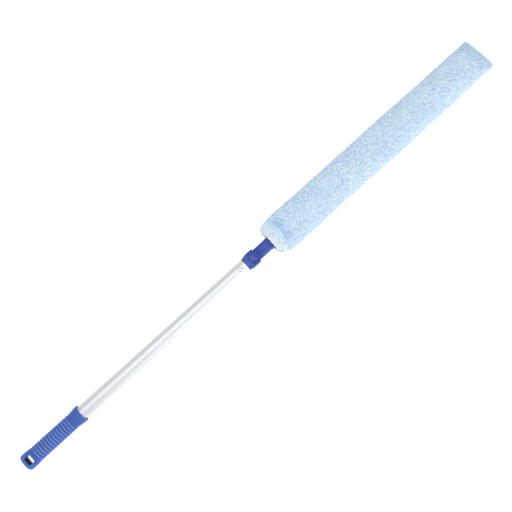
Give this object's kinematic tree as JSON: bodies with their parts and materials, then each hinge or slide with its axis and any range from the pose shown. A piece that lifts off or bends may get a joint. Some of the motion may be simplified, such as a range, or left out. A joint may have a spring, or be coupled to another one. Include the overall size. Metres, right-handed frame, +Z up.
{
  "type": "microfibre sleeve duster",
  "caption": "Flat high duster: aluminium tube handle with ribbed blue grip and hanging hole, tilting neck, and a long microfibre sleeve that pulls off a flexible blade.",
  "frame": {"origin": "on the supporting plane, midway between the butt of the grip and the tip of the sleeve, on the handle's centre line", "axes": "+X along the handle towards the tip of the sleeve, +Z up out of the flat face of the sleeve"},
  "size_m": [1.0209, 0.067, 0.028],
  "materials": {
    "tube_aluminium": "satin anodised, fine lengthwise draw lines",
    "grip_blue": "soft matt thermoplastic rubber",
    "plug_black": "black moulded polypropylene",
    "neck_blue": "fine moulded texture",
    "pin_blue": "smooth moulded",
    "spring_steel": "bright zinc plate",
    "washer_white": "natural nylon",
    "button_chrome": "bright nickel",
    "stem_blue": "fine moulded texture",
    "blade_white": "natural flexible polypropylene",
    "rivet_aluminium": "bright",
    "microfibre_pile": "short soft microfibre pile",
    "microfibre_hem": "short soft microfibre pile, turned over",
    "lining_cloth": "plain knitted backing",
    "elastic_white": "woven elastic",
    "binding_tape": "woven tape"
  },
  "bodies": {
    "handle": {"handle_tube": "tube_aluminium", "grip_cover": "grip_blue", "grip_plug": "plug_black", "neck_fork": "neck_blue", "pivot_pin": "pin_blue", "pivot_push_nut": "spring_steel", "friction_washer_top": "washer_white", "friction_washer_bottom": "washer_white", "button_spring": "spring_steel"},
    "button": {"snap_button": "button_chrome"},
    "head": {"head_stem": "stem_blue", "blade_core": "blade_white", "blade_rivets": "rivet_aluminium"},
    "sleeve": {"sleeve_top_panel": "microfibre_pile", "sleeve_bottom_panel": "microfibre_pile", "sleeve_hem": "microfibre_hem", "sleeve_lining": "lining_cloth", "hem_elastic": "elastic_white", "seam_binding": "binding_tape"}
  },
  "joints": [
    {"name": "neck_tilt", "type": "hinge", "parent": "handle", "child": "head", "pos_m": [-0.05125, 0, 0.014], "axis": [0, 0, 1], "range_deg": [-90, 90]},
    {"name": "button_press", "type": "slide", "parent": "handle", "child": "button", "axis": [0, 0, 1], "range_m": [-0.0035, 0], "stiffness_N_per_m": 500, "springref_m": 0.003, "deforming": ["button_spring"]},
    {"name": "sleeve_slide", "type": "slide", "parent": "head", "child": "sleeve", "axis": [1, 0, 0], "range_m": [0, 0.53]}
  ]
}
